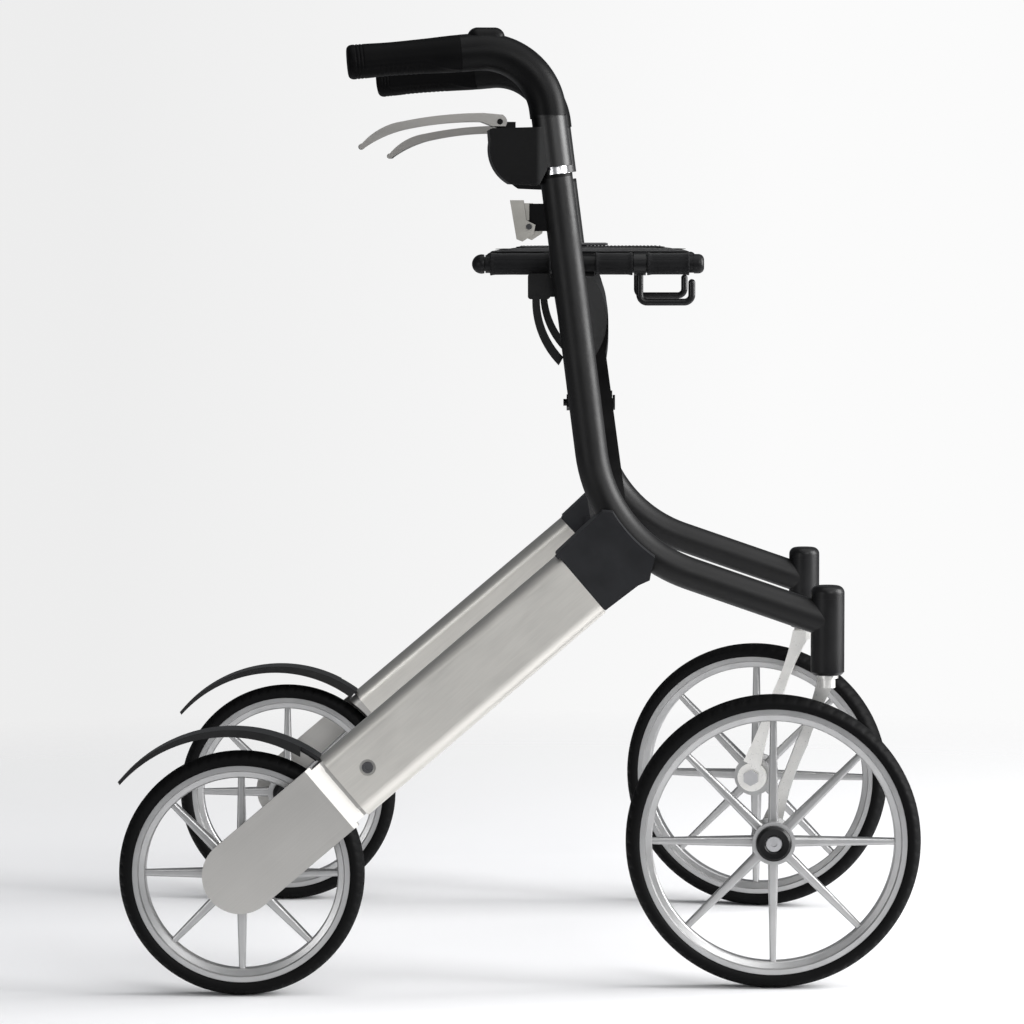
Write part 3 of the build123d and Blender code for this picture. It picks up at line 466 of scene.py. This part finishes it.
def make_tyres():
    for side in ("left", "right"):
        for place in ("front", "rear"):
            node = f"{side}_{place}_tyre"
            low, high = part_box(node)
            joint = joints[f"{side}_{place}_roll"]
            centre = (low + high) / 2
            radius = (high.z - low.z) / 2
            obj = make_tyre(f"{node}_tread", centre, joint["axis"], radius, TYRE_HALF, TYRE_DEPTH)
            stands_for(obj, node)


# ---------------------------------------------------------------- grips

GRIP_SLOPE_FROM_LEVEL = math.radians(4.8)
GRIP_ROUND = 72
GRIP_R = 15.1 * MM
GRIP_WAIST = 0.5 * MM              # how far the grip draws in behind its middle
GRIP_FLARE = 1.1 * MM              # how far it widens towards the elbow
END_ROUNDING = 5 * MM
END_FACE_SHARE = 0.74              # the rear face's radius over the grip's
RIDGE_RISE = 0.9 * MM
RIDGE_HALF_WIDTH = math.radians(7)
RIDGE_TILT = math.radians(-23)
RIDGE_SWAY = math.radians(34)      # how far the two ridges turn under towards the elbow
RING_PLACES = (7.5, 10.5, 13.5)    # grooves near the rear end, in mm from it
RING_DEPTH = 0.5 * MM
RING_WIDTH = 0.55 * MM
RIB_PITCH = 4.2 * MM
RIB_DEPTH = 0.45 * MM
RIBS_START = (22 * MM, 26 * MM)    # from the rear end
RIBS_END = (34 * MM, 30 * MM)      # from the elbow


def grip_frame():
    """Rear centre, direction, outward and up directions and length of the left grip."""
    outward = Vector(joints["left_brake"]["axis"])
    post = Vector(joints["left_height"]["axis"])
    level = outward.cross(post)
    rake = math.atan2(-post.x, post.z)
    drop = rake - GRIP_SLOPE_FROM_LEVEL
    along = (level * math.cos(drop) - post * math.sin(drop)).normalized()
    up = along.cross(outward)
    verts = [v.co for v in frame["nodes"]["left_grip"].data.vertices]
    reach = [v.dot(along) for v in verts]
    rear = [v for v, r in zip(verts, reach) if r < min(reach) + 0.5 * MM]
    centre = sum(rear, Vector()) / len(rear)
    return centre, along, outward, up, max(reach) - min(reach)


def grip_radius(at, length, angle):
    """The grip's outer radius at a distance from its rear end and an angle from outward, upwards."""
    radius = GRIP_R - GRIP_WAIST * math.sin(math.pi * smooth(at, 5 * MM, 0.7 * length))
    radius += GRIP_FLARE * smooth(at, 0.6 * length, length)
    edge = min(at / END_ROUNDING, 1.0)
    radius *= END_FACE_SHARE + (1 - END_FACE_SHARE) * math.sqrt(1 - (1 - edge) ** 2)
    sway = RIDGE_TILT - RIDGE_SWAY * smooth(at, 0.66 * length, length)
    for heading in (angle, math.pi - angle):
        gap = math.atan2(math.sin(heading - sway), math.cos(heading - sway))
        radius += RIDGE_RISE * math.exp(-(gap / RIDGE_HALF_WIDTH) ** 2) * smooth(at, 6 * MM, 16 * MM)
    for ring in RING_PLACES:
        radius -= RING_DEPTH * math.exp(-((at - ring * MM) / RING_WIDTH) ** 2)
    under = smooth(-math.sin(angle), 0.2, 0.7)
    ribs = 0.5 - 0.5 * math.cos(2 * math.pi * at / RIB_PITCH)
    ribbed = smooth(at, *RIBS_START) * (1 - smooth(at, length - RIBS_END[0], length - RIBS_END[1]))
    radius -= RIB_DEPTH * ribs ** 3 * under * ribbed
    return radius


# rings along the grip, in mm: close together over the rounded end and the grooves
REAR_STEPS = (0.0, 0.3, 0.8, 1.6, 2.6, 3.8, 5.0, 6.0)
FINE_FROM, FINE_UNTIL = 6.4, 15
FINE_STEP, COARSE_STEP = 0.4, 0.7


def make_grips():
    """Both grips, each with rounded ridges, end grooves and ribs under it."""
    centre, along, outward, up, length = grip_frame()
    steps = list(REAR_STEPS)
    at = FINE_FROM
    while at < length / MM:
        steps.append(at)
        at += FINE_STEP if at < FINE_UNTIL else COARSE_STEP
    steps.append(length / MM)
    rings = []
    for step in steps:
        here = step * MM
        ring = []
        for n in range(GRIP_ROUND):
            angle = 2 * math.pi * n / GRIP_ROUND
            out = outward * math.cos(angle) + up * math.sin(angle)
            ring.append(centre + along * here + out * grip_radius(here, length, angle))
        rings.append(ring)
    verts, faces = loft_rings(rings)
    left = face_outward(mesh_object("left_grip_shell", verts, faces, "grip_rubber"))
    stands_for(left, "left_grip")
    right = other_side(left, "right_grip_shell")
    stands_for(right, "right_grip")


# ---------------------------------------------------------------- seat

FABRIC = 1.3 * MM
PANEL_THICK = 4.0 * MM
PANEL_GRID = 3.8 * MM
SEAM_INSET = 9.0 * MM
SEAM_REACH = 0.6 * PANEL_GRID      # points this close to a seam are held by it
CENTRE_GAP = 0.6 * MM
RAIL_R = 8.0 * MM
SLEEVE_R = RAIL_R + 0.3 * MM
CLOTH_FRAMES = 20
PUFF_LIMIT = 2.6 * MM
SEAM_THICK = 0.45          # the panel's thickness on a seam over its full thickness
PANEL_MIDDLE = 0.55        # height of the panel's middle layer, in panel thicknesses
CHANNEL_SHARES = (0.36, 0.68)
WAVE = 0.25 * MM
HEM_ROUND = 40
HEM_STEP = 2.0 * MM
HEM_FLARE = 0.9 * MM
HEM_FLARE_REACH = 2.2 * MM
HEM_CREASE = 0.22 * MM
PANEL_PAST_RAIL = 1.0 * MM
SADDLE_REACH = 4 * MM      # how far below the rail's centre a brace arm's saddle starts
HEM_GAP = 1 * MM           # from a hem's end to the saddle or the hook's ring
HOOK_RING = 10.6 * MM


def seat_frame():
    """Rail centre (y, z) of the left rail and the fabric's ends along X, from the frame."""
    pivot = Vector(joints["left_seat_fold"]["pos_m"])
    low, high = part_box("left_seat_half")
    return pivot.y, pivot.z, low.x, high.x, low.z


def seam_top(z0):
    """Height of the panel's upper face on a seam."""
    return z0 + (PANEL_MIDDLE + 0.5 * SEAM_THICK) * PANEL_THICK


def quilt_weight(x, y, x0, x1, y0, y1):
    """1 on the stitched lines of the panel, 0 between them."""
    edges = (x - x0, x1 - x, y - y0, y1 - y)
    inner = [abs(e - SEAM_INSET) for e in edges]
    cross = [abs(y - (y0 + (y1 - y0) * share)) for share in CHANNEL_SHARES]
    if min(edges) < SEAM_INSET:
        return 1.0
    return 1.0 if min(inner + cross) < SEAM_REACH else 0.0


def padded_panel(name, x0, x1, y0, y1, z0):
    """A thin quilted panel, blown up a little between its seams by a cloth simulation."""
    nx = round((x1 - x0) / PANEL_GRID)
    ny = round((y1 - y0) / PANEL_GRID)
    verts, pins = [], []
    for layer in (0, 1):
        for i in range(nx + 1):
            for j in range(ny + 1):
                x = x0 + (x1 - x0) * i / nx
                y = y0 + (y1 - y0) * j / ny
                held = quilt_weight(x, y, x0, x1, y0, y1)
                thick = SEAM_THICK * PANEL_THICK if held else PANEL_THICK
                middle = z0 + PANEL_MIDDLE * PANEL_THICK
                lift = (layer - 0.5) * thick
                wave = WAVE * noise.noise(Vector((x * 45, y * 45, 0.3)))
                verts.append((x, y, middle + lift + wave))
                pins.append(held)
    obj = face_outward(mesh_object(name, verts, slab_faces(nx, ny), "seat_fabric"))
    puff(obj, pins)
    return obj


def puff(obj, pins):
    """Cloth simulation with pressure and no gravity, its result applied to the mesh."""
    group = obj.vertex_groups.new(name="held")
    for index, weight in enumerate(pins):
        group.add([index], weight, "REPLACE")
    before = [v.co.copy() for v in obj.data.vertices]
    cloth = obj.modifiers.new("cloth", "CLOTH")
    settings = cloth.settings
    settings.quality = 5
    settings.mass = 0.2
    settings.tension_stiffness = 12
    settings.compression_stiffness = 12
    settings.bending_stiffness = 0.6
    settings.vertex_group_mass = "held"
    settings.use_pressure = True
    settings.uniform_pressure_force = 4.0
    settings.effector_weights.gravity = 0.0
    cloth.collision_settings.use_collision = False
    scene = bpy.context.scene
    cloth.point_cache.frame_start = 1
    cloth.point_cache.frame_end = CLOTH_FRAMES
    for step in range(1, CLOTH_FRAMES + 1):
        scene.frame_set(step)
    shaped = obj.evaluated_get(bpy.context.evaluated_depsgraph_get()).to_mesh()
    after = [v.co.copy() for v in shaped.vertices]
    obj.modifiers.remove(cloth)
    obj.vertex_groups.clear()
    for vert, old, new in zip(obj.data.vertices, before, after):
        move = new - old
        if move.length > PUFF_LIMIT:
            move *= PUFF_LIMIT / move.length
        vert.co = old + move
    obj.data.update()
    scene.frame_set(1)


def sleeve(name, x0, x1, y, z):
    """The hem round the rail between x0 and x1: a fabric ring with a soft flare at each end."""
    rings_out, rings_in = [], []
    steps = max(6, round((x1 - x0) / HEM_STEP))
    for k in range(steps + 1):
        x = x0 + (x1 - x0) * k / steps
        end = min(x - x0, x1 - x)
        flare = HEM_FLARE * math.exp(-(end / HEM_FLARE_REACH) ** 2)
        outer, inner = [], []
        for n in range(HEM_ROUND):
            angle = 2 * math.pi * n / HEM_ROUND
            direction = Vector((0, math.cos(angle), math.sin(angle)))
            crease = HEM_CREASE * noise.noise(Vector((x * 60, direction.y * 2.2, direction.z * 2.2)))
            centre = Vector((x, y, z))
            outer.append(centre + direction * (SLEEVE_R + FABRIC + flare + crease))
            inner.append(centre + direction * (SLEEVE_R + 0.5 * flare))
        rings_out.append(outer)
        rings_in.append(inner)
    rings = rings_out + list(reversed(rings_in))
    verts, faces = loft_rings(rings + [rings[0]], False, False)
    return face_outward(mesh_object(name, verts, faces, "seat_fabric"), weld=0.001 * MM)


# along the stitch, height and width, the last two in thread radii
STITCH_SHAPE = ((0, -0.5, 0.3), (0.25, 0.6, 1.0), (0.75, 0.6, 1.0), (1, -0.5, 0.3))
STITCH_PITCH = 3.4 * MM
STITCH_SHARE = 0.72        # a stitch's length over the pitch
THREAD_R = 0.28 * MM


def stitches(name, lines, lift):
    """Thread in short stitches, their ends dipping in, along straight lines at a given height."""
    verts, faces = [], []
    for start, end in lines:
        start, end = Vector(start), Vector(end)
        along = (end - start).normalized()
        across = along.cross(Vector((0, 0, 1)))
        total = (end - start).length
        for k in range(int(total / STITCH_PITCH)):
            first = len(verts)
            a = start + along * (STITCH_PITCH * (k + 0.5 * (1 - STITCH_SHARE)))
            rings = []
            for share, rise, wide in STITCH_SHAPE:
                above = Vector((0, 0, lift + rise * THREAD_R))
                middle = a + along * (share * STITCH_PITCH * STITCH_SHARE) + above
                ring = []
                for n in range(6):
                    turn = math.pi * n / 3
                    offset = across * math.cos(turn) + Vector((0, 0, math.sin(turn)))
                    ring.append(middle + offset * THREAD_R * wide)
                rings.append(ring)
            more, made = loft_rings(rings)
            verts += more
            faces += [tuple(first + i for i in face) for face in made]
    return mesh_object(name, verts, faces, "strap_webbing")


def border_seams(x0, x1, y0, y1, inset):
    """Four seam lines along the edges of a rectangle, at a distance inside them."""
    left, right, near, far = x0 + inset, x1 - inset, y0 + inset, y1 - inset
    return [
        ((left, near, 0), (right, near, 0)),
        ((left, far, 0), (right, far, 0)),
        ((left, near, 0), (left, far, 0)),
        ((right, near, 0), (right, far, 0)),
    ]


def panel_seams(x0, x1, y0, y1):
    """The panel's border seams and the seams of its channels."""
    lines = border_seams(x0, x1, y0, y1, SEAM_INSET)
    for share in CHANNEL_SHARES:
        y = y0 + (y1 - y0) * share
        lines.append(((x0 + SEAM_INSET, y, 0), (x1 - SEAM_INSET, y, 0)))
    return lines


def join_into(obj, others):
    """obj and the others as one mesh."""
    bm = bmesh.new()
    for part in [obj] + others:
        bm.from_mesh(part.data)
    bm.to_mesh(obj.data)
    bm.free()
    for part in others:
        bpy.data.objects.remove(part)
    obj.data.polygons.foreach_set("use_smooth", [True] * len(obj.data.polygons))
    return obj


def make_seat():
    """Both seat halves: panel, hems round the rail between its saddle and hook, and stitches."""
    y, z, x0, x1, z0 = seat_frame()
    y1 = y + PANEL_PAST_RAIL
    panel = padded_panel("left_seat_fabric", x0, x1, CENTRE_GAP, y1, z0)
    saddle = [
        v.co.x
        for side in ("left", "right")
        for v in frame["nodes"][side + "_brace_arm"].data.vertices
        if v.co.z > z - SADDLE_REACH
    ]
    hook_low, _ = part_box("left_bag_hook")
    ring_end = hook_low.x + HOOK_RING
    spans = [
        (x0, min(saddle) - HEM_GAP),
        (max(saddle) + HEM_GAP, hook_low.x - HEM_GAP),
        (ring_end + HEM_GAP, x1),
    ]
    sleeves = [sleeve(f"hem_{n}", a, b, y, z) for n, (a, b) in enumerate(spans)]
    panel = join_into(panel, sleeves)
    thread = stitches("left_seat_stitches", panel_seams(x0, x1, CENTRE_GAP, y1), seam_top(z0))
    right_panel = other_side(panel, "right_seat_fabric")
    right_thread = other_side(thread, "right_seat_stitches")
    for side, cloth, sewn in (("left", panel, thread), ("right", right_panel, right_thread)):
        cloth.modifiers.new("soft", "SUBSURF").render_levels = 1
        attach(cloth, side + "_seat")
        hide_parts(side + "_seat_half")
        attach(sewn, side + "_seat")


BAND_GRID = (26, 40)
BAND_EDGE = 2.5 * MM
EDGE_SHARE = 0.35          # the band's thickness at its edge over its full thickness


def flat_band(name, x0, x1, y0, y1, z_of, thick, look):
    """A soft-edged band: a closed sheet with rounded edges whose height follows z_of(x, y)."""
    nx, ny = BAND_GRID
    verts = []
    for layer in (0, 1):
        for i in range(nx + 1):
            for j in range(ny + 1):
                x = x0 + (x1 - x0) * i / nx
                y = y0 + (y1 - y0) * j / ny
                edge = min(x - x0, x1 - x, y - y0, y1 - y)
                fat = thick * (EDGE_SHARE + (1 - EDGE_SHARE) * smooth(edge, 0.0, BAND_EDGE))
                verts.append((x, y, z_of(x, y) + (layer - 0.5) * fat))
    return face_outward(mesh_object(name, verts, slab_faces(nx, ny), look))


BINDING_HALF = 9 * MM
BINDING_THICK = 1.0 * MM
BINDING_LIFT = 0.9 * MM
FLAP_THICK = 1.8 * MM
FLAP_DROP = 0.9 * MM       # from the top of the CAD strap down to the flap's middle layer
FLAP_WAVE = 0.5 * MM
STRAP_THICK = 1.5 * MM
STRAP_LIFT = 1.2 * MM
STRAP_HALF = 16 * MM
STRAP_INSET = 3 * MM
STRAP_ARCH = 1.2 * MM
FLAP_SEAM = 4 * MM


def make_seam_cover():
    """A binding sewn to the right half of the seat, lying over the seam in the middle."""
    _, _, x0, x1, z0 = seat_frame()
    top = seam_top(z0) + BINDING_LIFT
    y0, y1 = -BINDING_HALF, BINDING_HALF
    cover = flat_band("seat_seam_cover", x0, x1, y0, y1, lambda x, y: top, BINDING_THICK, "seat_fabric")
    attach(cover, "right_seat")


def make_strap():
    """The flap over the seat's middle, the strap sewn across it and the flap's stitches."""
    low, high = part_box("seat_strap")
    base = high.z

    def flap_height(x, y):
        return base - FLAP_DROP + FLAP_WAVE * noise.noise(Vector((x * 30, y * 30, 4.0)))

    def loop_height(x, y):
        share = (y - low.y) / (high.y - low.y)
        return base + STRAP_LIFT + STRAP_ARCH * math.sin(math.pi * share) ** 2

    flap = flat_band("seat_flap", low.x, high.x, low.y, high.y, flap_height, FLAP_THICK, "seat_fabric")
    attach(flap, "right_seat")
    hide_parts("seat_strap")
    middle = (low.x + high.x) / 2
    x0, x1 = middle - STRAP_HALF, middle + STRAP_HALF
    y0, y1 = low.y + STRAP_INSET, high.y - STRAP_INSET
    loop = flat_band("lifting_strap", x0, x1, y0, y1, loop_height, STRAP_THICK, "strap_webbing")
    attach(loop, "right_seat")
    lines = border_seams(low.x, high.x, low.y, high.y, FLAP_SEAM)
    sewn = stitches("seat_flap_stitches", lines, base)
    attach(sewn, "right_seat")


# ---------------------------------------------------------------- stage

AMBIENT = 0.15
AMBIENT_TINT = (0.92, 0.95, 1.0)
# what the camera sees behind the walker: a wall with painted shade, a little darker towards its rear wheels, away
# from the key lamp
WALL_SPREAD = (-0.12, 0.04)
WALL_SHADE_STRENGTH = (0.85, 0.965)
FLOOR_HALF = 8
FLOOR_TINT = (0.82, 0.82, 0.83)
FLOOR_FADE = (0.55, 1.9)           # distances from the middle where the floor starts and ends fading
# name, place, aim, size and power
LAMPS = (
    ("key", (2.4, -0.2, 1.15), (0.0, 0.0, 0.5), (1.5, 1.8), 125),
    ("front", (1.5, -3.1, 1.8), (0.0, 0.0, 0.4), (1.6, 1.2), 40),
    ("fill", (-2.0, -2.6, 0.7), (-0.2, 0.0, 0.25), (1.2, 0.8), 14),
)
SUN_POWER = 1.55
SUN_ANGLE = math.radians(70)
SUN_TILT = (math.radians(12), math.radians(14), 0)


def lamp(name, place, aim, size, power):
    data = bpy.data.lights.new(name, "AREA")
    data.shape = "RECTANGLE"
    data.size, data.size_y = size
    data.energy = power
    obj = add_object(name, data)
    obj.location = place
    obj.rotation_euler = (Vector(aim) - Vector(place)).to_track_quat("-Z", "Y").to_euler()


def make_world():
    """A dim even light, and a bright wall that only the camera sees, with painted shade darker towards one side.
    """
    world = bpy.data.worlds.new("studio")
    bpy.context.scene.world = world
    world.use_nodes = True
    tree = world.node_tree
    heading = tree.nodes.new("ShaderNodeSeparateXYZ")
    tree.links.new(tree.nodes.new("ShaderNodeTexCoord").outputs["Generated"], heading.inputs[0])
    # painted shade: the wall's strength falls off towards -X
    shade = tree.nodes.new("ShaderNodeMapRange")
    shade.inputs["From Min"].default_value, shade.inputs["From Max"].default_value = WALL_SPREAD
    shade.inputs["To Min"].default_value, shade.inputs["To Max"].default_value = WALL_SHADE_STRENGTH
    tree.links.new(heading.outputs["X"], shade.inputs["Value"])
    wall = tree.nodes["Background"]
    wall.inputs["Color"].default_value = (1.0, 1.0, 1.0, 1)
    tree.links.new(shade.outputs[0], wall.inputs["Strength"])
    dim = tree.nodes.new("ShaderNodeBackground")
    dim.inputs["Color"].default_value = (*AMBIENT_TINT, 1)
    dim.inputs["Strength"].default_value = AMBIENT
    seen = tree.nodes.new("ShaderNodeLightPath")
    mix = tree.nodes.new("ShaderNodeMixShader")
    tree.links.new(seen.outputs["Is Camera Ray"], mix.inputs["Fac"])
    tree.links.new(dim.outputs[0], mix.inputs[1])
    tree.links.new(wall.outputs[0], mix.inputs[2])
    tree.links.new(mix.outputs[0], tree.nodes["World Output"].inputs["Surface"])


def make_floor():
    """A pale floor that fades out with the distance from the walker."""
    r = FLOOR_HALF
    data = bpy.data.meshes.new("floor")
    data.from_pydata([(-r, -r, 0), (r, -r, 0), (r, r, 0), (-r, r, 0)], [], [(0, 1, 2, 3)])
    s = Shader("pale_floor", FLOOR_TINT, 0.0, 0.75)
    s.tint(s.noise(3.0, 2.0), 0.99, 1.01)
    reach = s.node("ShaderNodeVectorMath", Vector=s.place)
    reach.operation = "LENGTH"
    fade = s.ranged(reach.outputs["Value"], *FLOOR_FADE)
    clear = s.tree.nodes.new("ShaderNodeBsdfTransparent")
    mix = s.tree.nodes.new("ShaderNodeMixShader")
    s.tree.links.new(fade, mix.inputs["Fac"])
    s.tree.links.new(s.surface.outputs[0], mix.inputs[1])
    s.tree.links.new(clear.outputs[0], mix.inputs[2])
    s.tree.links.new(mix.outputs[0], s.tree.nodes["Material Output"].inputs["Surface"])
    data.materials.append(s.material)
    add_object("floor", data)


def make_stage():
    bpy.context.scene.view_settings.view_transform = "Standard"
    make_world()
    make_floor()
    for row in LAMPS:
        lamp(*row)
    sun = bpy.data.lights.new("overhead", "SUN")
    sun.energy = SUN_POWER
    sun.angle = SUN_ANGLE
    add_object("overhead", sun).rotation_euler = SUN_TILT


# ---------------------------------------------------------------- making

make_camera()
make_stage()
dress_cad_nodes()
make_tyres()
make_grips()
make_seat()
make_seam_cover()
make_strap()
